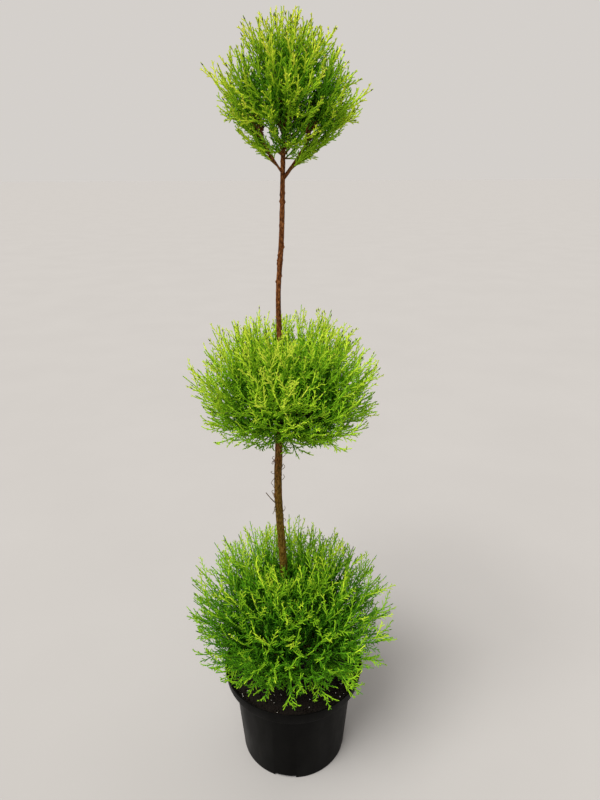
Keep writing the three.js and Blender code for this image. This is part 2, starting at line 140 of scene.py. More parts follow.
def ring_of_boughs(count, first, height, stagger, length, rise, radius):
    """Boughs at even angles round the stem, their roots at staggered heights."""
    return [
        {
            "azimuth": first + 360 * k / count,
            "height": height + stagger * ((2 * k) % count) / count,
            "length": length,
            "rise": rise,
            "radius": radius,
        }
        for k in range(count)
    ]


def twigs_on(limb, roots, twigs, elevations, **rest):
    """One set of twigs: the limb they grow on, their span along it, their number and their elevations."""
    return {"on": limb, "roots": roots, "twigs": twigs, "elevations": elevations, **rest}


# The balls. Their sizes, outlines, limbs and lobes are as in the solids.
# centre is the height of the middle, spread the half width, up and down the heights over and under it.
# lean moves the ball to the right, powers shape its outline over and under the middle, sag bends its twigs.
# A bough's plume is the elevation and reach of a twig that stands far out.
# lobe is the way from the ball's middle to the middle of each mass, outward and up.
# sprays is their number on a twig. shoots and needles are scales. swell makes the outline uneven.
# paler, depth, fade, vary and shade deal out the tints, and warm scales red from the darkest to the palest.
# The tints darken deep in a ball and towards its bottom, partly for older growth and partly as painted
# shade of the ball's own foliage; the low ball's small paler is painted shade as well.
TIERS = {
    "low": {
        "centre": 246,
        "spread": 147,
        "up": 106,
        "down": 72,
        "lean": 3,
        "powers": (2.1, 2.2),
        "sag": 0.13,
        "boughs": ring_of_boughs(6, 15, 174, 22, 21, 30, 2.2),
        "lobe": (62, -30),
        "growth": [
            twigs_on("mass", (0.0, 0.6), 32, (-35, 70), reach=1.07),
            twigs_on("bough", (0.0, 0.6), 11, (-30, 45), phase=0.4),
            twigs_on("bough", (0.5, 1.0), 5, (45, 70)),
            twigs_on("bough", (0.6, 1.0), 3, (65, 88), reach=0.8),
            twigs_on("mass", (0.0, 0.8), 6, (-5, 70), reach=0.62),
            twigs_on("bough", (0.0, 0.9), 9, (-48, 5), reach=0.72, bare=0.1),
        ],
        "sprays": 7,
        "shoots": 1.2,
        "needles": 0.88,
        "swell": 0.07,
        "wood": "olive_wood",
        # a small paler: the low ball's darker needles are painted shade, for a ball that sits lower and
        # more in shade
        "paler": 0.06,
        "depth": 0.53,
        "fade": 1.3,
        "vary": 0.40,
        # shade darkens the lower sprays: partly older growth, partly painted shade from the foliage above
        "shade": 0.20,
        "warm": (0.88, 1.16),
        "seed": 11,
    },
    "mid": {
        "centre": 600,
        "spread": 116,
        "up": 84,
        "down": 74,
        "lean": 11,
        "powers": (2.8, 2.3),
        "sag": 0.15,
        "boughs": ring_of_boughs(5, -20, 528, 18, 19, 48, 2),
        "lobe": (46, -6),
        "growth": [
            twigs_on("mass", (0.0, 0.5), 34, (-30, 62)),
            twigs_on("bough", (0.3, 1.0), 9, (-36, 20)),
            twigs_on("bough", (0.5, 1.0), 7, (36, 60), reach=1.05),
            twigs_on("bough", (0.6, 1.0), 4, (60, 85), reach=0.74),
            twigs_on("mass", (0.0, 0.6), 6, (-15, 60), reach=0.62),
            twigs_on("bough", (0.0, 0.5), 6, (-60, -28), bare=0.15, sprays=6),
        ],
        "sprays": 8,
        "shoots": 1.0,
        "needles": 0.85,
        "swell": 0.08,
        "wood": "olive_wood",
        "paler": 0.24,
        "depth": 0.66,
        "fade": 1.35,
        "vary": 0.44,
        "shade": 0.25,
        "warm": (0.90, 1.09),
        "seed": 23,
    },
    "top": {
        "centre": 935,
        "spread": 77,
        "up": 73,
        "down": 76,
        "lean": 7,
        "powers": (1.9, 1.6),
        "sag": 0.04,
        "boughs": [
            {"azimuth": 0, "height": 847, "length": 41, "rise": 54, "radius": 2.3, "plume": (2, 1.17)},
            {"azimuth": 90, "height": 860, "length": 30, "rise": 58, "radius": 1.4},
            {"azimuth": 180, "height": 853, "length": 33, "rise": 57, "radius": 1.5, "plume": (17, 1.3)},
            {"azimuth": 270, "height": 866, "length": 26, "rise": 58, "radius": 1.3},
        ],
        "lobe": (27, -10),
        "growth": [
            twigs_on("mass", (0.0, 0.8), 22, (-28, 41), bare=0.2, angle=24),
            twigs_on("bough", (0.2, 0.9), 10, (-60, -10), sprays=5, bare=0.08, angle=17),
            twigs_on("mass", (0.0, 0.6), 5, (-40, 41), reach=0.6, bare=0.1),
        ],
        "sprays": 8,
        "shoots": 1.1,
        "needles": 0.88,
        "swell": 0.11,
        "wood": "red_wood",
        "paler": 0.19,
        "depth": 0.72,
        "fade": 1.4,
        "vary": 0.44,
        "shade": 0.20,
        "warm": (1.0, 1.20),
        "seed": 37,
        "leader_lift": 10,
        "leader": twigs_on("mass", (0.0, 0.6), 32, (41, 90), reach=1.07, bare=0.12, angle=24),
    },
}

# Fine growth in scene.py alone
TWIG_RADII = (1.15, 0.75, 0.3)  # at the root, where the wood ends, and at the tip
TWIG_STEPS = 5
TWIG_SIDES = 5
STALK_SIDES = 3
WOODY = 0.12  # how far a twig's wood goes on past its bare part
SPRAY_LIFT = 0.25
SPRAY_BEND = 0.55
SPRAY_THICK = (0.95, 0.6)
SPRAY_STEPS = 3
SPRAY_PLACES = {"back": 0.04, "last": 0.95, "jitter": 0.7}
SPRAY_REACH = {"vary": (0.8, 1.15), "least": 12, "most": 34, "past": 0.01}
SHOOT = {"every": 4.1, "angle": 42, "base": 7.5, "tip": 3.4, "thick": 0.8, "thin": 0.6}
SHOOT_COUNT = {"share": 0.86, "fewest": 3, "most": 18}
SHOOT_PLACES = {"first": 0.10, "last": 0.95, "jitter": 0.3, "spin": 75}
SHOOT_SIZE = {"vary": (0.75, 1.2), "spray": 26, "least": 0.6, "most": 1.15}
SHOOT_BEND = {"middle": 0.55, "run": 0.9, "ahead": 0.14}
NEEDLE = {"every": 1.75, "axis_every": 1.65, "angle": 36, "long": 2.1, "short": 1.8, "width": 1.1}
NEEDLE_VARY = {"spin": 40, "length": (0.8, 1.15), "width": (0.85, 1.15), "on_shoot": 0.92}
NEEDLE_SHIFT = 0.6
# Needle tints from darkest to palest. The darker ones go to the inside and bottom of each ball, partly for
# older growth and partly as painted shade.
TINTS = {
    "deep": (0.030, 0.118, 0.005),
    "mid": (0.105, 0.305, 0.011),
    "bright": (0.275, 0.530, 0.020),
    "lime": (0.455, 0.690, 0.036),
    "gold": (0.575, 0.765, 0.065),
}
TINT_STEPS = (0.20, 0.40, 0.62, 0.84)
TINT_DEPTH = {"core": 0.45, "rim": 0.65}
TINT_VARY = {"spray": 0.28, "shoot": 0.20}
TINT_AT = 0.6  # the place along a spray that gives its own tint
DEEP_EVERY = 2  # in the deepest tint only each second needle is grown
BUD = {"share": 0.45, "length": 3.2, "thick": 1.0, "thin": 0.45}
POT_CLEARANCE = {"inside": 4, "outside": 3, "rim": 1.5, "soil": 2, "beside": 165}
CLEAR_AT = {"twig": 0.7, "spray": 0.5}  # places along them that have to clear the pot, like their tips

# Colours with their places on a ramp
BARK_LOW = [(0.36, (0.035, 0.017, 0.002)), (0.52, (0.125, 0.073, 0.006)), (0.68, (0.30, 0.20, 0.045))]
BARK_HIGH = [(0.36, (0.036, 0.010, 0.003)), (0.51, (0.125, 0.037, 0.007)), (0.67, (0.42, 0.170, 0.055))]
BARK_REDDENS = {"From Min": 0.66, "From Max": 0.86}  # heights in m
BARK_SWAY = 0.5
PLASTIC_DUST = [
    (0.40, (0.0012, 0.0012, 0.0010)),
    (0.62, (0.0022, 0.0021, 0.0018)),
    (0.80, (0.009, 0.0075, 0.005)),
]
FLOOR_GREY = [(0.3, (0.352, 0.342, 0.336)), (0.7, (0.362, 0.352, 0.346))]

# Stage, light and camera, in m
FLOOR_HALF = 60.0
STUDIO_COLOUR = (0.66, 0.63, 0.60, 1.0)
STUDIO_STRENGTH = 1.0
LIT_POINT = (0.0, 0.0, 0.5)
KEY_LIGHT = {"place": (-0.9, -1.0, 2.6), "spread": 36, "power": 4.0, "colour": (1.0, 0.98, 0.94)}
BACK_LIGHT = {"place": (0.3, 1.2, 0.8), "spread": 110, "power": 1.1, "colour": (1.0, 0.98, 0.95)}
LENS = {"lens": 27.0, "sensor_width": 36.0, "clip_start": 0.02}
CAMERA_PLACE = (0.01197, -0.7224, 0.85575)
CAMERA_DOWN = 20.9
CAMERA_ROLL = -0.24


# Numbers and vectors

HASH = {"start": 2166136261, "first": 16777619, "second": 2246822507}


def chance(*keys):
    """A seeded number from 0 to 1 for whole-number keys, which keep one draw apart from another."""
    h = np.full(np.broadcast_shapes(*(np.shape(k) for k in keys)) or (1,), HASH["start"], np.uint32)
    for key in keys:
        h = (h ^ np.asarray(key).astype(np.uint32)) * np.uint32(HASH["first"])
        h = h ^ (h >> np.uint32(15))
        h = h * np.uint32(HASH["second"])
        h = h ^ (h >> np.uint32(13))
    return h / 2.0**32


def mix(a, b, t):
    return a + (b - a) * t


def unit(v):
    return v / np.maximum(np.linalg.norm(v, axis=-1, keepdims=True), 1e-9)


def pointing(azimuth, elevation):
    """Unit directions from an azimuth and an elevation in degrees."""
    a = np.radians(np.asarray(azimuth, float))
    e = np.radians(np.asarray(elevation, float))
    a, e = np.broadcast_arrays(a, e)
    return np.stack([np.cos(a) * np.cos(e), np.sin(a) * np.cos(e), np.sin(e)], axis=-1)


def turned(v, axis, degrees):
    """Vectors turned about unit axes."""
    c = np.cos(np.radians(degrees))[..., None]
    s = np.sin(np.radians(degrees))[..., None]
    dot = np.sum(v * axis, axis=-1, keepdims=True)
    return v * c + np.cross(axis, v) * s + axis * dot * (1 - c)


def square_to(v, axis):
    """Vectors made perpendicular to unit axes."""
    return unit(v - axis * np.sum(v * axis, axis=-1, keepdims=True))


def outline(tier, elevation):
    """How far a ball reaches from its middle at an elevation in degrees."""
    e = np.radians(elevation)
    power = np.where(e > 0, tier["powers"][0], tier["powers"][1])
    level = np.cos(e) / tier["spread"]
    rise = np.abs(np.sin(e)) / np.where(e > 0, tier["up"], tier["down"])
    return (level**power + rise**power) ** (-1 / power)


def stem_at(z):
    """Points on the stem's middle line at given heights, a smooth curve through the stem's line."""
    z = np.atleast_1d(np.asarray(z, float))
    knots = STEM_LINE[:, 2]
    slopes = np.gradient(STEM_LINE[:, :2], knots, axis=0)
    k = np.clip(np.searchsorted(knots, z, side="right") - 1, 0, len(knots) - 2)
    gap = (knots[k + 1] - knots[k])[:, None]
    t = np.clip((z - knots[k]) / gap[:, 0], 0, 1)[:, None]
    flat = (
        (2 * t**3 - 3 * t**2 + 1) * STEM_LINE[k, :2]
        + (t**3 - 2 * t**2 + t) * gap * slopes[k]
        + (3 * t**2 - 2 * t**3) * STEM_LINE[k + 1, :2]
        + (t**3 - t**2) * gap * slopes[k + 1]
    )
    return np.column_stack([flat, z])


def stem_radius(z):
    z = np.asarray(z, float)
    taper = np.interp(z, STEM_TAPER[:, 0], STEM_TAPER[:, 1])
    return taper + FLARE["extra"] * np.exp(-(z - SOIL_TOP) / FLARE["fade"])


# Curves: each is three points of a quadratic, kept as an array of shape (count, 3, 3)


def at(curves, t):
    t = np.asarray(t)[..., None]
    return curves[:, 0] * (1 - t) ** 2 + curves[:, 1] * 2 * t * (1 - t) + curves[:, 2] * t**2


def heading(curves, t):
    t = np.asarray(t)[..., None]
    return unit((curves[:, 1] - curves[:, 0]) * (1 - t) + (curves[:, 2] - curves[:, 1]) * t)


def rest_of(curves, t):
    """The part of each curve from t on."""
    share = np.asarray(t)[:, None]
    return np.stack([at(curves, t), mix(curves[:, 1], curves[:, 2], share), curves[:, 2]], axis=1)


def start_of(curves, t):
    """The part of each curve up to t."""
    share = np.asarray(t)[:, None]
    return np.stack([curves[:, 0], mix(curves[:, 0], curves[:, 1], share), at(curves, t)], axis=1)


def straight(a, b):
    """One curve that is a straight line."""
    return np.stack([a, (a + b) / 2, b])[None]


def span(curves):
    return np.linalg.norm(curves[:, 2] - curves[:, 0], axis=-1)


def spread_out(counts):
    """For each item its own number and its place in its group."""
    owner = np.repeat(np.arange(len(counts)), counts)
    first = np.cumsum(counts) - counts
    return owner, np.arange(len(owner)) - first[owner]


# Mesh parts: each is a pair of points and faces


def joined(parts):
    """One pair of points and faces from several."""
    points, faces, start = [], [], 0
    for p, f in parts:
        points.append(p.reshape(-1, 3))
        faces.append(f + start)
        start += len(points[-1])
    return np.concatenate(points), np.concatenate(faces)


def blades(foot, direction, side, length, width):
    """Pointed flat needles, one three-cornered face each."""
    half = side * (width / 2)[:, None]
    points = np.stack([foot - half, foot + half, foot + direction * length[:, None]], axis=1)
    return points, np.arange(len(foot) * 3).reshape(-1, 3)


def rods(curves, thick, thin, across, steps, sides=STALK_SIDES):
    """Tapering stalks along curves. The radii are numbers, or one number for each curve."""
    count = len(curves)
    t = np.linspace(0, 1, steps + 1)
    rings = []
    for k in range(steps + 1):
        here = np.full(count, t[k])
        ahead = heading(curves, here)
        first = square_to(across, ahead)
        second = np.cross(ahead, first)
        radius = np.broadcast_to(mix(thick, thin, t[k]), count)[:, None]
        middle = at(curves, here)
        for j in range(sides):
            turn = 2 * math.pi * j / sides
            rings.append(middle + (first * math.cos(turn) + second * math.sin(turn)) * radius)
    points = np.stack(rings, axis=1)
    k, j = np.meshgrid(np.arange(steps), np.arange(sides), indexing="ij")
    a = (k * sides + j).ravel()
    b = (k * sides + (j + 1) % sides).ravel()
    quads = np.column_stack([a, b, b + sides, a + sides])
    offsets = np.arange(count) * sides * (steps + 1)
    return points, (quads[None] + offsets[:, None, None]).reshape(-1, 4)


def grid_faces(rows, columns):
    """Faces of a grid of points that closes on itself along its columns."""
    k, j = np.meshgrid(np.arange(rows - 1), np.arange(columns), indexing="ij")
    a = (k * columns + j).ravel()
    b = (k * columns + (j + 1) % columns).ravel()
    return np.column_stack([a, b, b + columns, a + columns])


def add_piece(name, part, material, replaced=(), smooth=True):
    """A mesh object on the plant's one body."""
    points, faces = part
    mesh = bpy.data.meshes.new(name)
    points = np.asarray(points, np.float32).reshape(-1, 3) * MM
    sides = faces.shape[1]
    mesh.vertices.add(len(points))
    mesh.vertices.foreach_set("co", points.ravel())
    mesh.loops.add(faces.size)
    mesh.loops.foreach_set("vertex_index", faces.ravel().astype(np.int32))
    mesh.polygons.add(len(faces))
    mesh.polygons.foreach_set("loop_start", np.arange(0, faces.size, sides, dtype=np.int32))
    mesh.polygons.foreach_set("use_smooth", np.full(len(faces), smooth))
    mesh.update(calc_edges=True)
    mesh.validate()
    mesh.materials.append(material)
    piece = bpy.data.objects.new(name, mesh)
    bpy.context.scene.collection.objects.link(piece)
    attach(piece, "root")
    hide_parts(*replaced)
    return piece


def weld(piece):
    """Closes the pinholes that a turned shape has on its axis."""
    shape = bmesh.new()
    shape.from_mesh(piece.data)
    bmesh.ops.remove_doubles(shape, verts=shape.verts, dist=WELD_GAP * MM)
    shape.to_mesh(piece.data)
    shape.free()


# Materials


def new_material(name):
    material = bpy.data.materials.new(name)
    material.use_nodes = True
    tree = material.node_tree
    return material, tree, tree.nodes["Principled BSDF"]


def add_node(tree, kind, inputs=None, **settings):
    node = tree.nodes.new(kind)
    for key, value in settings.items():
        setattr(node, key, value)
    for key, value in (inputs or {}).items():
        if isinstance(value, bpy.types.NodeSocket):
            tree.links.new(value, node.inputs[key])
        else:
            node.inputs[key].default_value = value
    return node


def noise(tree, place, scale, detail=4.0, rough=0.55):
    """A noise pattern in object space, as a number."""
    inputs = {"Vector": place, "Scale": scale, "Detail": detail, "Roughness": rough}
    return add_node(tree, "ShaderNodeTexNoise", inputs).outputs["Fac"]


def ramp(tree, value, stops):
    """A colour ramp from pairs of a place and a colour."""
    node = add_node(tree, "ShaderNodeValToRGB", {"Fac": value})
    elements = node.color_ramp.elements
    while len(elements) < len(stops):
        elements.new(0.5)
    for element, (place, colour) in zip(elements, stops):
        element.position = place
        element.color = (*colour, 1.0)
    return node.outputs["Color"]


def grey(value):
    return (value, value, value)


def object_place(tree, stretch=(1, 1, 1)):
    """Object coordinates, stretched."""
    place = add_node(tree, "ShaderNodeTexCoord").outputs["Object"]
    return add_node(tree, "ShaderNodeMapping", {"Vector": place, "Scale": stretch}).outputs["Vector"]


def bump(tree, shader, height, strength, distance):
    node = add_node(tree, "ShaderNodeBump", {"Height": height, "Strength": strength, "Distance": distance})
    tree.links.new(node.outputs["Normal"], shader.inputs["Normal"])


def needle_material(name, colour):
    material, tree, shader = new_material(name)
    shader.inputs["Base Color"].default_value = (*colour, 1.0)
    shader.inputs["Specular IOR Level"].default_value = 0.03
    gloss = noise(tree, object_place(tree), scale=220.0, detail=2.0)
    rough = ramp(tree, gloss, [(0.3, grey(0.48)), (0.7, grey(0.72))])
    tree.links.new(rough, shader.inputs["Roughness"])
    return material


def link_mix(tree, node, factor, first, second):
    """Links the colour sockets of a colour mix."""
    if factor is not None:
        tree.links.new(factor, node.inputs[0])
    tree.links.new(first, node.inputs[6])
    tree.links.new(second, node.inputs[7])
    return node.outputs[2]


def bark_material():
    """Thin fibrous bark, olive brown low on the stem and redder higher up."""
    material, tree, shader = new_material("bark")
    fibre = noise(tree, object_place(tree, (1, 1, 0.3)), scale=700.0, detail=6.0, rough=0.7)
    patch = noise(tree, object_place(tree, (1, 1, 0.45)), scale=120.0, detail=4.0)
    low = ramp(tree, fibre, BARK_LOW)
    high = ramp(tree, fibre, BARK_HIGH)
    height = add_node(tree, "ShaderNodeSeparateXYZ", {"Vector": object_place(tree)}).outputs["Z"]
    terms = {0: patch, 1: BARK_SWAY, 2: height}
    uneven = add_node(tree, "ShaderNodeMath", terms, operation="MULTIPLY_ADD").outputs[0]
    rise = add_node(tree, "ShaderNodeMapRange", {"Value": uneven, **BARK_REDDENS}).outputs["Result"]
    body = link_mix(tree, add_node(tree, "ShaderNodeMix", data_type="RGBA"), rise, low, high)
    shade = ramp(tree, patch, [(0.3, grey(0.62)), (0.7, grey(1.0))])
    both = add_node(tree, "ShaderNodeMix", data_type="RGBA", blend_type="MULTIPLY")
    both.inputs["Factor"].default_value = 1.0
    tree.links.new(link_mix(tree, both, None, body, shade), shader.inputs["Base Color"])
    rough = ramp(tree, fibre, [(0.3, grey(0.92)), (0.8, grey(0.68))])
    tree.links.new(rough, shader.inputs["Roughness"])
    shader.inputs["Specular IOR Level"].default_value = 0.10
    bump(tree, shader, fibre, strength=0.7, distance=0.0006)
    return material


def twig_material(name, dark, pale):
    """Young wood and green stalks, paler in streaks."""
    material, tree, shader = new_material(name)
    streak = noise(tree, object_place(tree), scale=260.0, detail=3.0)
    tree.links.new(ramp(tree, streak, [(0.35, dark), (0.65, pale)]), shader.inputs["Base Color"])
    shader.inputs["Roughness"].default_value = 0.75
    shader.inputs["Specular IOR Level"].default_value = 0.06
    return material


def pot_material():
    """Black moulded plastic with a soft satin, faint dust and brown smears of soil."""
    material, tree, shader = new_material("pot_plastic")
    place = object_place(tree)
    dust = noise(tree, place, scale=26.0, detail=8.0, rough=0.7)
    tree.links.new(ramp(tree, dust, PLASTIC_DUST), shader.inputs["Base Color"])
    smear = noise(tree, object_place(tree, (1, 1, 0.3)), scale=40.0, detail=5.0)
    rough = ramp(tree, smear, [(0.3, grey(0.38)), (0.7, grey(0.54))])
    tree.links.new(rough, shader.inputs["Roughness"])
    shader.inputs["Specular IOR Level"].default_value = 0.035
    bump(tree, shader, noise(tree, place, scale=900.0, detail=2.0), strength=0.08, distance=0.0003)
    return material


def soil_material(name, dark, brown, pale):
    material, tree, shader = new_material(name)
    grain = noise(tree, object_place(tree), scale=420.0, detail=8.0, rough=0.7)
    base = ramp(tree, grain, [(0.35, dark), (0.6, brown), (0.8, pale)])
    tree.links.new(base, shader.inputs["Base Color"])
    shader.inputs["Roughness"].default_value = 0.95
    shader.inputs["Specular IOR Level"].default_value = 0.2
    bump(tree, shader, grain, strength=0.8, distance=0.0012)
    return material


def needle_materials():
    """A material for each tint of each ball, with more or less red in it. The darker ones are partly
    painted shade.
    """
    materials = {}
    for ball, tier in TIERS.items():
        warmth = np.linspace(*tier["warm"], len(TINTS))
        for warm, (tint, (red, green, blue)) in zip(warmth, TINTS.items()):
            materials[ball, tint] = needle_material(f"{ball}_needle_{tint}", (red * warm, green, blue))
    return materials


BARK = bark_material()
WOOD = {
    "olive_wood": twig_material("olive_wood", (0.026, 0.026, 0.007), (0.070, 0.060, 0.016)),
    "red_wood": twig_material("red_wood", (0.060, 0.022, 0.006), (0.190, 0.080, 0.022)),
}
STALK = twig_material("green_stalk", (0.11, 0.22, 0.02), (0.24, 0.40, 0.05))
NEEDLES = needle_materials()
BUD_SKIN = needle_material("bud", (0.075, 0.078, 0.022))
PLASTIC = pot_material()
PEAT = soil_material("peat", (0.0035, 0.0024, 0.0018), (0.011, 0.007, 0.0045), (0.035, 0.022, 0.013))
GRIT = soil_material("perlite", (0.42, 0.40, 0.36), (0.62, 0.60, 0.56), (0.80, 0.78, 0.74))


# Stem, boughs and bark relief


def smooth_bumps(x, y, value):
    """Smooth bumps from -1 to 1 between the values at whole numbers."""
    x0 = np.floor(x).astype(int)
    y0 = np.floor(y).astype(int)
    fx = (x - x0) ** 2 * (3 - 2 * (x - x0))
    fy = (y - y0) ** 2 * (3 - 2 * (y - y0))
    near = mix(value(x0, y0), value(x0 + 1, y0), fx)
    far = mix(value(x0, y0 + 1), value(x0 + 1, y0 + 1), fx)
    return 2 * mix(near, far, fy) - 1


def ripple(turn, along, cells, seed):
    """Seeded bumps on a strip that closes on itself round a limb."""
    return smooth_bumps(turn * cells, along, lambda i, j: chance(seed, i % cells, j))


def barked(path, radii, sides, relief, seed, nubs=0):
    """A limb along a path with the relief of fibrous bark and a few nubs of lost shoots."""
    end = path[-1] + unit(path[-1] - path[-2]) * radii[-1] * LIMB_END["length"]
    path = np.concatenate([path, end[None]])
    radii = np.append(radii, LIMB_END["radius"])
    rows = len(path)
    ahead = unit(np.gradient(path, axis=0))
    first = square_to(np.tile(ASIDE, (rows, 1)), ahead)
    second = np.cross(ahead, first)
    along = np.concatenate([[0], np.cumsum(np.linalg.norm(np.diff(path, axis=0), axis=1))])
    turn = np.arange(sides) / sides
    turns, lengths = np.meshgrid(turn, along)
    cells = max(BARK_CELL["fewest"], int(round(2 * math.pi * radii.mean() / BARK_CELL["width"])))
    bumps = np.zeros((rows, sides))
    for k, around in enumerate((cells, 2 * cells, BARK_CELL["broad"])):
        share, length = BARK_WAVES[k]
        bumps += share * ripple(turns, lengths / length, around, seed + k)
    out = radii[:, None] + relief * bumps
    for k in range(nubs):
        where = chance(seed, 71, k)[0] * along[-1]
        side = chance(seed, 72, k)[0]
        height = mix(*NUB["heights"], chance(seed, 73, k)[0] ** 2)
        width = mix(*NUB["widths"], chance(seed, 74, k)[0])
        round_gap = np.abs((turns - side + 0.5) % 1 - 0.5) * 2 * math.pi * radii[:, None]
        away = np.hypot(lengths - where, round_gap)
        out += height * np.exp(-((away / width) ** 2))
    out[-1] = radii[-1]
    cosine = np.cos(2 * math.pi * turn)[None, :, None]
    sine = np.sin(2 * math.pi * turn)[None, :, None]
    ring = cosine * first[:, None] + sine * second[:, None]
    return path[:, None] + ring * out[..., None], grid_faces(rows, sides)


def ball_origin(tier):
    """The middle of a ball, on the stem's line."""
    return stem_at(min(tier["centre"], STEM_LINE[-1, 2]))[0] * [1, 1, 0] + UP * tier["centre"]


def middle_of_mass(tier, bough):
    """The middle of the mass on a bough."""
    out, rise = tier["lobe"]
    return ball_origin(tier) + pointing(bough["azimuth"], 0) * out + UP * rise


def bough_curve(bough):
    """The quadratic through a bough's root, sagging middle and tip."""
    root = stem_at(bough["height"])[0]
    length = bough["length"] + stem_radius(bough["height"])
    tip = root + pointing(bough["azimuth"], bough["rise"]) * length
    middle = (root + tip) / 2 - UP * BOUGH["sag"] * length
    return np.stack([root, 2 * middle - (root + tip) / 2, tip])[None]


def points_along(curve, steps):
    """Points along one curve, and their places on it."""
    t = np.linspace(0, 1, steps)
    return at(np.repeat(curve, steps, axis=0), t), t


def stem_of_mass(tier, bough, curve):
    """The limb that goes on from a bough's tip to the middle of its mass."""
    middle = middle_of_mass(tier, bough)
    start = curve[0, 2]
    bend = start + unit(curve[0, 2] - curve[0, 1]) * np.linalg.norm(middle - start) * MASS_STEM["bend"]
    return points_along(np.stack([start, bend, middle])[None], MASS_STEM["steps"])[0]


def bark_parts():
    """The stem, the boughs, the stems in the masses and the curls."""
    heights = np.arange(SOIL_TOP - STEM_BURIED, STEM_LINE[-1, 2], STEM_STEP)
    path = stem_at(np.clip(heights, STEM_LINE[0, 2], None))
    path[:, 2] = heights
    radii = stem_radius(np.maximum(heights, SOIL_TOP))
    parts = [barked(path, radii, STEM_SIDES, RELIEF["stem"], STEM_SEED, NUBS)]
    taper = np.linspace(MASS_STEM["thick"], MASS_STEM["thin"], MASS_STEM["steps"])
    for tier in TIERS.values():
        for k, bough in enumerate(tier["boughs"]):
            curve = bough_curve(bough)
            limb, t = points_along(curve, BOUGH["steps"])
            radii = bough["radius"] * (1 - BOUGH["taper"] * t)
            seed = tier["seed"] * 10 + k
            parts.append(barked(limb, radii, BOUGH["sides"], RELIEF["bough"], seed))
            limb = stem_of_mass(tier, bough, curve)
            parts.append(barked(limb, radii[-1] * taper, MASS_STEM["sides"], RELIEF["mass"], seed))
    parts.append(bark_curls())
    return joined(parts)


def bark_curls():
    """Thin strips of bark that peel off the bare stem, and one small dead twig."""
    k = np.arange(CURLS)

    def draw(number):
        return chance(CURL["seed"], k, number)

    def between(limits, number):
        return mix(*limits, draw(number))[:, None]

    low = mix(*CURL["places"], draw(1))
    side = pointing(360 * draw(2), 0)
    length = between(CURL["lengths"], 3) * np.where(draw(4) < 0.5, -1, 1)[:, None]
    foot = stem_at(low) + side * stem_radius(low)[:, None]
    bend = foot + UP * length * CURL["bulge_at"] + side * between(CURL["bulges"], 5)
    sideways = np.cross(UP, side)
    tip = foot + UP * length * between(CURL["reaches"], 7)
    tip += side * between(CURL["gaps"], 8) + sideways * between(CURL["sways"], 6)
    curls = np.stack([foot - side * CURL["foot"], bend, tip], axis=1)
    curves = np.concatenate([curls, DEAD_TWIG[None]])
    sideways = np.concatenate([sideways, UP[None]])
    thick, thin = (np.append(np.full(CURLS, CURL["radii"][n]), DEAD_TWIG_RADII[n]) for n in range(2))
    return rods(curves, thick, thin, sideways, CURL["steps"])


# Foliage


def clear_of_pot(points):
    """True where points are above the soil inside the rim, and above the rim over it."""
    radius = np.hypot(points[:, 0], points[:, 1])
    inside = COLLAR_FOOT_RADIUS - WALL - POT_CLEARANCE["inside"]
    outside = RIM_RADIUS + POT_CLEARANCE["outside"]
    over_rim = (radius > inside) & (radius < outside)
    least = np.where(over_rim, POT_HEIGHT + POT_CLEARANCE["rim"], SOIL_TOP + POT_CLEARANCE["soil"])
    return points[:, 2] > np.where(radius > outside, POT_CLEARANCE["beside"], least)


def swell(direction, seed):
    """Smooth seeded values from -1 to 1, with a few swellings round a ball."""
    x, y, z = direction.T
    first, second = 2 * math.pi * chance(seed, 61, np.arange(2))
    return np.sin(5 * x + 3 * y + first) * np.sin(5 * y - 4 * z + second)


def grow_twigs(tier, number, stem, growth, azimuths, plume=None):
    """Twigs of one mass: curves from its stem to the ball's outline.

    The first may be a plume that stands far out.
    """
    origin = ball_origin(tier)
    count = growth["twigs"]
    i = np.arange(count)

    def draw(k):
        return chance(tier["seed"], number, i, k)

    u = (0.5 + growth.get("phase", 0) + i * PLANE_STEP[0]) % 1
    v = (0.5 + growth.get("phase", 0) + i * PLANE_STEP[1]) % 1
    azimuth = mix(azimuths[0], azimuths[1], u)
    low, high = np.sin(np.radians(growth["elevations"]))
    elevation = np.degrees(np.arcsin(mix(low, high, v)))
    stray = draw(0) < TWIG["stray_share"]
    share = np.where(stray, TWIG["stray_reach"], mix(TWIG["short"], TWIG["long"], draw(1)))
    share = share * growth.get("reach", 1.0)
    share = share * (1 + tier["swell"] * swell(pointing(azimuth, elevation), tier["seed"]))
    share = np.minimum(share, TWIG["most"])
    if plume:
        elevation[0], share[0] = plume
    tip = origin + pointing(azimuth, elevation) * (outline(tier, elevation) * share)[:, None]
    tip[:, 0] += tier["lean"]
    root = at(np.repeat(stem, count, axis=0), mix(*growth["roots"], draw(2)))
    length = np.linalg.norm(tip - root, axis=1)
    bend = (root + tip) / 2 - UP * (tier["sag"] * length)[:, None]
    curves = np.stack([root, bend, tip], axis=1)
    across = square_to(pointing(azimuth + 90, 0), heading(curves, np.ones(count)))
    keep = clear_of_pot(tip) & clear_of_pot(at(curves, np.full(count, CLEAR_AT["twig"])))
    sprays = np.full(count, growth.get("sprays", tier["sprays"]))
    bare = np.full(count, growth.get("bare", TWIG["bare"]))
    angle = np.full(count, growth.get("angle", SPRAY_ANGLE))
    most = np.maximum(TWIG["most"], share)
    return [part[keep] for part in (curves, across, 360 * draw(3), sprays, bare, angle, most)]


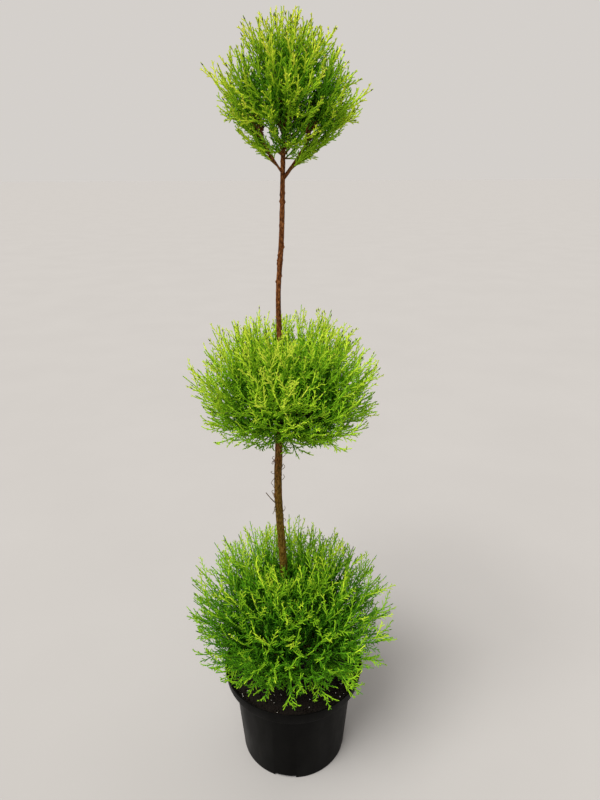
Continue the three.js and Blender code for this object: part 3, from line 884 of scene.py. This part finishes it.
def tier_twigs(tier):
    """All twigs of a ball."""
    grown = []
    half = 180 / len(tier["boughs"])
    for k, bough in enumerate(tier["boughs"]):
        limb = bough_curve(bough)
        stems = {"bough": limb, "mass": straight(limb[0, 2], middle_of_mass(tier, bough))}
        sector = (bough["azimuth"] - half, bough["azimuth"] + half)
        for step, growth in enumerate(tier["growth"]):
            plume = bough.get("plume") if step == 0 else None
            grown.append(grow_twigs(tier, k + 1 + 20 * step, stems[growth["on"]], growth, sector, plume))
    if "leader" in tier:
        start = STEM_LINE[-1]
        middle = start * [1, 1, 0] + UP * (tier["centre"] + tier["leader_lift"])
        number = len(tier["boughs"]) + 1
        grown.append(grow_twigs(tier, number, straight(start, middle), tier["leader"], (0, 360)))
    return [np.concatenate(part) for part in zip(*grown)]


def grow_sprays(tier, twigs, across, roll, counts, bare, angle, most):
    """The sprays on twigs: one that ends each twig, and side sprays round it by the golden angle."""
    owner, j = spread_out(counts)
    jitter = SPRAY_PLACES["jitter"] * (chance(tier["seed"], 901, owner, j) - 0.5)
    first = bare[owner] - SPRAY_PLACES["back"]
    where = mix(first, SPRAY_PLACES["last"], (j + 0.5 + jitter) / counts[owner])
    own = twigs[owner]
    ahead = heading(own, where)
    away = turned(square_to(across[owner], ahead), ahead, roll[owner] + GOLDEN_ANGLE * (j + 1))
    lean = np.radians(angle[owner])[:, None]
    run = ahead * np.cos(lean) + away * np.sin(lean)
    vary = mix(*SPRAY_REACH["vary"], chance(tier["seed"], 902, owner, j))
    reach = span(own) * SPRAY_LENGTH * (SPRAY_TAPER - where) * vary
    reach = np.clip(reach, SPRAY_REACH["least"], SPRAY_REACH["most"])[:, None]
    foot = at(own, where)
    tip = foot + run * reach + UP * reach * SPRAY_LIFT
    sides = np.stack([foot, foot + run * reach * SPRAY_BEND, tip], axis=1)
    ends = rest_of(twigs, bare)
    curves = np.concatenate([ends, sides])
    wide = np.concatenate([across, away])
    middle = at(curves, np.full(len(curves), CLEAR_AT["spray"]))
    keep = clear_of_pot(curves[:, 2]) & clear_of_pot(middle)
    furthest = np.concatenate([most, most[owner]]) + SPRAY_REACH["past"]
    keep &= share_of_outline(tier, curves[:, 2]) < furthest
    return curves[keep], wide[keep]


def share_of_outline(tier, points):
    """How far points are from a ball's middle, as shares of its outline there."""
    away = points - ball_origin(tier) - np.array([tier["lean"], 0, 0])
    distance = np.linalg.norm(away, axis=1)
    return distance / outline(tier, np.degrees(np.arcsin(away[:, 2] / distance)))


def pairs_of_needles(curves, wide, every, scale, seed):
    """Needles in crossed pairs along curves: blades with the number of the curve that each stands on."""
    counts = np.maximum(2, (span(curves) / every).astype(int))
    owner, k = spread_out(counts)
    t = np.clip((k + NEEDLE_SHIFT) / counts[owner], 0, 1)
    own = curves[owner]
    ahead = heading(own, t)
    first = square_to(wide[owner], ahead)
    spin = 90.0 * (k % 2) + NEEDLE_VARY["spin"] * (chance(seed, owner, k, 3) - 0.5)
    out = turned(first, ahead, spin)
    lean = math.radians(NEEDLE["angle"])
    parts = []
    for sign in (1, -1):
        direction = ahead * math.cos(lean) + out * (sign * math.sin(lean))
        side = unit(np.cross(ahead, out))
        length = mix(NEEDLE["long"], NEEDLE["short"], t)
        length = length * mix(*NEEDLE_VARY["length"], chance(seed, owner, k, 4 + sign))
        width = NEEDLE["width"] * mix(*NEEDLE_VARY["width"], chance(seed, owner, k, 9 + sign))
        parts.append((at(own, t), direction, side, length * scale, width * scale))
    stacked = [np.concatenate(column) for column in zip(*parts)]
    return stacked, np.concatenate([owner, owner])


def grow_shoots(curves, wide, scale, seed):
    """Short shoots on both sides of each spray, like the bones of a fish."""
    length = span(curves)
    counts = (length * SHOOT_COUNT["share"] / SHOOT["every"]).astype(int)
    counts = np.clip(counts, SHOOT_COUNT["fewest"], SHOOT_COUNT["most"])
    owner, k = spread_out(counts)
    jitter = SHOOT_PLACES["jitter"] * (chance(seed, owner, k, 21) - 0.5)
    t = mix(SHOOT_PLACES["first"], SHOOT_PLACES["last"], (k + 0.5 + jitter) / counts[owner])
    own = curves[owner]
    ahead = heading(own, t)
    spin = 180.0 * (k % 2) + SHOOT_PLACES["spin"] * (chance(seed, owner, k, 22) - 0.5)
    out = turned(square_to(wide[owner], ahead), ahead, spin)
    lean = math.radians(SHOOT["angle"])
    run = ahead * math.cos(lean) + out * math.sin(lean)
    size = scale * mix(SHOOT["base"], SHOOT["tip"], t)
    size = size * mix(*SHOOT_SIZE["vary"], chance(seed, owner, k, 23))
    room = np.clip(length[owner] / SHOOT_SIZE["spray"], SHOOT_SIZE["least"], SHOOT_SIZE["most"])
    size = (size * room)[:, None]
    foot = at(own, t)
    bend = foot + run * size * SHOOT_BEND["middle"]
    tip = foot + (run * SHOOT_BEND["run"] + ahead * SHOOT_BEND["ahead"]) * size
    return np.stack([foot, bend, tip], axis=1), out, owner


def tint_of(tier, points, owner, k):
    """The tint's number for shoots: paler towards the ball's outline and its top. The darker inside and
    bottom are partly older growth and partly painted shade of the ball's own foliage.
    """
    seed = tier["seed"]
    depth = (share_of_outline(tier, points) - TINT_DEPTH["core"]) / TINT_DEPTH["rim"]
    outward = np.clip(depth, 0, 1) ** tier["fade"]
    rise = np.clip((points[:, 2] - tier["centre"]) / tier["up"], -1, 1)
    by_spray = TINT_VARY["spray"] * (chance(seed, owner, 31) - 0.5)
    # depth darkens the inside and shade darkens the bottom: partly older growth, partly painted shade
    level = tier["paler"] + tier["depth"] * outward + tier["shade"] * rise
    level += tier["vary"] * (by_spray + TINT_VARY["shoot"] * (chance(seed, owner, k, 32) - 0.5))
    return np.searchsorted(TINT_STEPS, level)


def stalks_of(curves, wide, chosen, thick, thin, steps):
    """The green stalks of the chosen curves, if there are any."""
    if not chosen.any():
        return []
    return [rods(curves[chosen], thick, thin, wide[chosen], steps)]


def add_foliage(name, tier):
    """Twigs, stalks and needles of one ball, in place of its masses."""
    masses = [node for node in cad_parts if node.startswith(name + "_mass_")]
    seed = tier["seed"]
    fine = tier["needles"]
    twigs, across, roll, counts, bare, angle, most = tier_twigs(tier)
    woody = bare + WOODY
    root, middle, end = TWIG_RADII
    wood = rods(start_of(twigs, woody), root, middle, across, TWIG_STEPS, TWIG_SIDES)
    green = rods(rest_of(twigs, woody), middle, end, across, TWIG_STEPS)
    add_piece(name + "_twigs", wood, WOOD[tier["wood"]], masses)
    sprays, wide = grow_sprays(tier, twigs, across, roll, counts, bare, angle, most)
    shoots, shoot_wide, owner = grow_shoots(sprays, wide, tier["shoots"], seed)
    add_piece(name + "_stalks", green, STALK, masses)
    on_axis, axis_owner = pairs_of_needles(sprays, wide, NEEDLE["axis_every"], fine, seed + 1)
    smaller = NEEDLE_VARY["on_shoot"] * fine
    on_shoot, shoot_owner = pairs_of_needles(shoots, shoot_wide, NEEDLE["every"], smaller, seed + 2)
    everything = [np.concatenate(column) for column in zip(on_axis, on_shoot)]
    inner = at(sprays, np.full(len(sprays), TINT_AT))
    spray_tint = tint_of(tier, inner, np.arange(len(sprays)), 0)
    shoot_tint = tint_of(tier, shoots[:, 2], owner, np.arange(len(owner)))
    tint = np.concatenate([spray_tint[axis_owner], shoot_tint[shoot_owner]])
    shown = (tint > 0) | (np.arange(len(tint)) % DEEP_EVERY == 0)
    spray_size = [fine * radius for radius in SPRAY_THICK]
    shoot_size = [fine * SHOOT["thick"], fine * SHOOT["thin"]]
    for number, tint_name in enumerate(TINTS):
        skin = NEEDLES[name, tint_name]
        chosen = (tint == number) & shown
        part = blades(*[column[chosen] for column in everything])
        add_piece(f"{name}_needles_{tint_name}", part, skin, masses, smooth=False)
        ropes = stalks_of(sprays, wide, spray_tint == number, *spray_size, SPRAY_STEPS)
        ropes += stalks_of(shoots, shoot_wide, shoot_tint == number, *shoot_size, 1)
        add_piece(f"{name}_shoots_{tint_name}", joined(ropes), skin, masses)
    budding = chance(seed, 33, np.arange(len(sprays))) < BUD["share"]
    bud_ends = rest_of(sprays, 1 - BUD["length"] / np.maximum(span(sprays), 2 * BUD["length"]))
    buds = stalks_of(bud_ends, wide, budding, fine * BUD["thick"], fine * BUD["thin"], 1)
    add_piece(name + "_buds", joined(buds), BUD_SKIN, masses)


# Pot and soil


def lathe(profile, sides):
    """A turned shape from a profile that starts and ends close to the axis."""
    radius, height = np.array(profile, float).T[..., None]
    turn = 2 * math.pi * np.arange(sides) / sides
    x = radius * np.cos(turn)
    y = radius * np.sin(turn)
    z = np.repeat(height, sides, axis=1)
    return np.stack([x, y, z], axis=-1).reshape(-1, 3), grid_faces(len(profile), sides)


def rounded(corner, before, after, size, steps=5):
    """Points that round one corner of a profile."""
    corner, before, after = (np.array(p, float) for p in (corner, before, after))
    a = corner + unit(before - corner) * size
    b = corner + unit(after - corner) * size
    return [tuple(a * (1 - t) ** 2 + corner * 2 * t * (1 - t) + b * t**2) for t in np.linspace(0, 1, steps)]


def softened(corners):
    """A profile from corners of radius, height and rounding."""
    profile = [corner[:2] for corner in corners]
    out = [profile[0]]
    for k in range(1, len(profile) - 1):
        out += rounded(profile[k], profile[k - 1], profile[k + 1], corners[k][2])
    return out + [profile[-1]]


def body_radius(z):
    return mix(FOOT_RADIUS, BODY_TOP_RADIUS, z / BODY_HEIGHT)


def add_pot():
    """The pot's shell, with the drain notches cut out of its foot."""
    inner_ledge = BODY_HEIGHT + WALL
    corners = [
        (NEAR_AXIS, 0, 0),
        (FOOT_RADIUS, 0, 1.6),
        (BODY_TOP_RADIUS, BODY_HEIGHT, 2.2),
        (COLLAR_FOOT_RADIUS, BODY_HEIGHT, 1.4),
        (RIM_RADIUS, POT_HEIGHT, 0.9),
        (RIM_RADIUS - WALL, POT_HEIGHT, 0.9),
        (COLLAR_FOOT_RADIUS - WALL, inner_ledge, 1.5),
        (body_radius(inner_ledge) - WALL, inner_ledge, 1.5),
        (body_radius(THICK_FLOOR) - WALL, THICK_FLOOR, 1.5),
        (NEAR_AXIS, THICK_FLOOR, 0),
    ]
    pot = add_piece("pot_shell", lathe(softened(corners), POT_SIDES), PLASTIC, ["pot"])
    weld(pot)
    cutters = [drain_cutter(k) for k in range(DRAIN["count"])]
    for cutter in cutters:
        cut = pot.modifiers.new("drain", "BOOLEAN")
        cut.operation = "DIFFERENCE"
        cut.solver = "EXACT"
        cut.object = cutter
    apply_modifiers(pot)
    for cutter in cutters:
        bpy.data.objects.remove(cutter)
    pot.data.set_sharp_from_angle(angle=math.radians(SHARP_ANGLE))


def drain_cutter(number):
    """A box that cuts one notch out of the pot's foot."""
    turn = DRAIN["first"] + 360 * number / DRAIN["count"]
    half = DRAIN["width"] / 2
    low = -THICK_FLOOR
    notch = [
        (DRAIN["inner"], -half),
        (DRAIN["outer"], -half),
        (DRAIN["outer"], half),
        (DRAIN["inner"], half),
    ]
    points = np.array([(x, y, z) for z in (low, DRAIN["height"]) for x, y in notch])
    spin = np.array(Matrix.Rotation(math.radians(turn), 3, "Z"))
    mesh = bpy.data.meshes.new("cutter")
    faces = [(3, 2, 1, 0), (4, 5, 6, 7), (0, 1, 5, 4), (1, 2, 6, 5), (2, 3, 7, 6), (3, 0, 4, 7)]
    mesh.from_pydata(points @ spin.T * MM, [], faces)
    cutter = bpy.data.objects.new("cutter", mesh)
    bpy.context.scene.collection.objects.link(cutter)
    return cutter


def apply_modifiers(piece):
    """Bakes a piece's modifiers into its mesh."""
    graph = bpy.context.evaluated_depsgraph_get()
    mesh = bpy.data.meshes.new_from_object(piece.evaluated_get(graph))
    piece.modifiers.clear()
    piece.data = mesh
    mesh.polygons.foreach_set("use_smooth", np.full(len(mesh.polygons), True))


def lumps(x, y, seed):
    """Seeded bumps on a plane."""
    return smooth_bumps(x, y, lambda i, j: chance(seed, i + LUMP_SHIFT, j + LUMP_SHIFT))


def add_soil():
    """Lumpy peat to just under the rim, with loose crumbs and white grains on it."""
    inset = WALL + SOIL_GAP
    ledge = BODY_HEIGHT + inset
    edge = COLLAR_FOOT_RADIUS - inset + SOIL_PRESS
    bottom = THICK_FLOOR + SOIL_LIFT
    top = [(r, SOIL_TOP - SOIL_EDGE_DROP * r / edge) for r in np.linspace(NEAR_AXIS, edge, SOIL_RINGS)]
    under = [
        (COLLAR_FOOT_RADIUS - inset, ledge),
        (body_radius(ledge) - inset, ledge),
        (body_radius(THICK_FLOOR) - inset, bottom),
        (NEAR_AXIS, bottom),
    ]
    points, faces = lathe((top + under)[::-1], SOIL_SIDES)
    on_top = points[:, 2] > SOIL_TOP - SOIL_EDGE_DROP - 0.5
    x, y = points[on_top, 0], points[on_top, 1]
    fade = np.clip((edge - np.hypot(x, y)) / SOIL_FADE["width"], SOIL_FADE["least"], 1)
    rise = sum(height * lumps(x / width, y / width, seed) for width, height, seed in SOIL_LUMPS)
    points[on_top, 2] += fade * rise - SOIL_SINK
    weld(add_piece("soil_bed", (points, faces), PEAT, ["soil"]))
    add_piece("soil_crumbs", grains(**CRUMBS), PEAT, ["soil"], smooth=False)
    add_piece("soil_perlite", grains(**PERLITE), GRIT, ["soil"], smooth=False)


def grains(count, sizes, seed):
    """Rough eight-faced bits that lie on the soil."""
    k = np.arange(count)
    radius = GRAIN["reach"] * np.sqrt(chance(seed, k, 1))
    turn = 2 * math.pi * chance(seed, k, 2)
    size = mix(*sizes, chance(seed, k, 3) ** 2)
    height = SOIL_TOP - GRAIN["sink"] + GRAIN["rise"] * chance(seed, k, 4)
    middle = np.column_stack([radius * np.cos(turn), radius * np.sin(turn), height])
    flat = GRAIN["flat"]
    corners = np.array([[1, 0, 0], [0, 1, 0], [-1, 0, 0], [0, -1, 0], [0, 0, flat], [0, 0, -flat]], float)
    stretch = mix(*GRAIN["stretch"], chance(seed, k[:, None], 5 + np.arange(6)[None]))[..., None]
    spun = turned(corners[None] + np.zeros((count, 1, 1)), UP, 360 * chance(seed, k, 15)[:, None])
    points = middle[:, None] + spun * stretch * size[:, None, None]
    faces = [(j, (j + 1) % 4, 4) for j in range(4)] + [((j + 1) % 4, j, 5) for j in range(4)]
    return points, (np.array(faces)[None] + 6 * k[:, None, None]).reshape(-1, 3)


# Stage, light and camera


def add_floor():
    """A plain pale floor that reaches far past the picture."""
    mesh = bpy.data.meshes.new("floor")
    half = FLOOR_HALF
    corners = [(-half, -half, 0), (half, -half, 0), (half, half, 0), (-half, half, 0)]
    mesh.from_pydata(corners, [], [(0, 1, 2, 3)])
    floor = bpy.data.objects.new("floor", mesh)
    bpy.context.scene.collection.objects.link(floor)
    material, tree, shader = new_material("floor")
    tint = noise(tree, object_place(tree), scale=3.0, detail=3.0)
    tree.links.new(ramp(tree, tint, FLOOR_GREY), shader.inputs["Base Color"])
    shader.inputs["Roughness"].default_value = 0.95
    shader.inputs["Specular IOR Level"].default_value = 0.0
    mesh.materials.append(material)


def add_sun(name, place, spread, power, colour):
    """A broad even light, as from a large window."""
    light = bpy.data.lights.new(name, "SUN")
    light.angle = math.radians(spread)
    light.energy = power
    light.color = colour
    lamp = bpy.data.objects.new(name, light)
    lamp.location = place
    lamp.rotation_euler = (Vector(LIT_POINT) - Vector(place)).to_track_quat("-Z", "Y").to_euler()
    bpy.context.scene.collection.objects.link(lamp)


def add_stage():
    """The floor, the pale studio round it and its two lights."""
    add_floor()
    world = bpy.data.worlds.new("studio")
    world.use_nodes = True
    background = world.node_tree.nodes["Background"]
    background.inputs["Color"].default_value = STUDIO_COLOUR
    background.inputs["Strength"].default_value = STUDIO_STRENGTH
    bpy.context.scene.world = world
    add_sun("key", **KEY_LIGHT)
    add_sun("back", **BACK_LIGHT)
    bpy.context.scene.view_settings.view_transform = "Standard"


def add_camera():
    """The photo's camera: height, pitch and lens fitted to the pot's rim and foot and to the stem."""
    lens = bpy.data.cameras.new("photo")
    for key, value in LENS.items():
        setattr(lens, key, value)
    camera = bpy.data.objects.new("photo", lens)
    pitch = Matrix.Rotation(math.radians(90 - CAMERA_DOWN), 4, "X")
    tilt = pitch @ Matrix.Rotation(math.radians(CAMERA_ROLL), 4, "Z")
    camera.matrix_world = Matrix.Translation(CAMERA_PLACE) @ tilt
    bpy.context.scene.collection.objects.link(camera)
    bpy.context.scene.camera = camera


limbs = ["trunk"] + [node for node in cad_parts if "_bough_" in node]
add_piece("bark", bark_parts(), BARK, limbs)
for ball, shape in TIERS.items():
    add_foliage(ball, shape)
add_pot()
add_soil()
add_stage()
add_camera()
